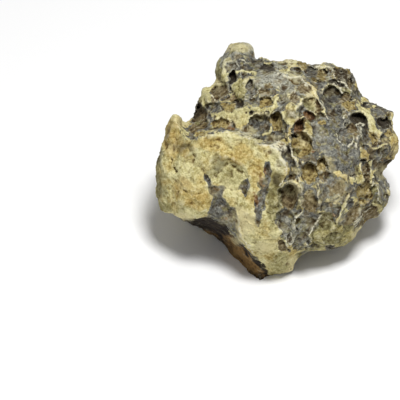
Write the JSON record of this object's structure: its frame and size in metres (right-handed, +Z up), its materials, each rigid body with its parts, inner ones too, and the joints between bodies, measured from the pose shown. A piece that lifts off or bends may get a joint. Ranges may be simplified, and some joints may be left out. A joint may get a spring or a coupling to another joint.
{
  "type": "dragon stone",
  "caption": "Weathered lump of pitted rock with a smooth tan slab on one side and a ridged, hole-covered grey mass around it, resting on worn spots of its underside.",
  "frame": {"origin": "middle of the bounding box, on the surface that the stone rests on", "axes": "+Z up, +X along the stone's longest side, -Y towards the side that the tan slab and the show face lean to"},
  "size_m": [0.1837, 0.1595, 0.1293],
  "materials": {
    "weathered_stone": "dry, rough and pitted: ochre and cream crust over purple-grey rock"
  },
  "bodies": {
    "root": {"dragon_stone": "weathered_stone"}
  },
  "joints": []
}
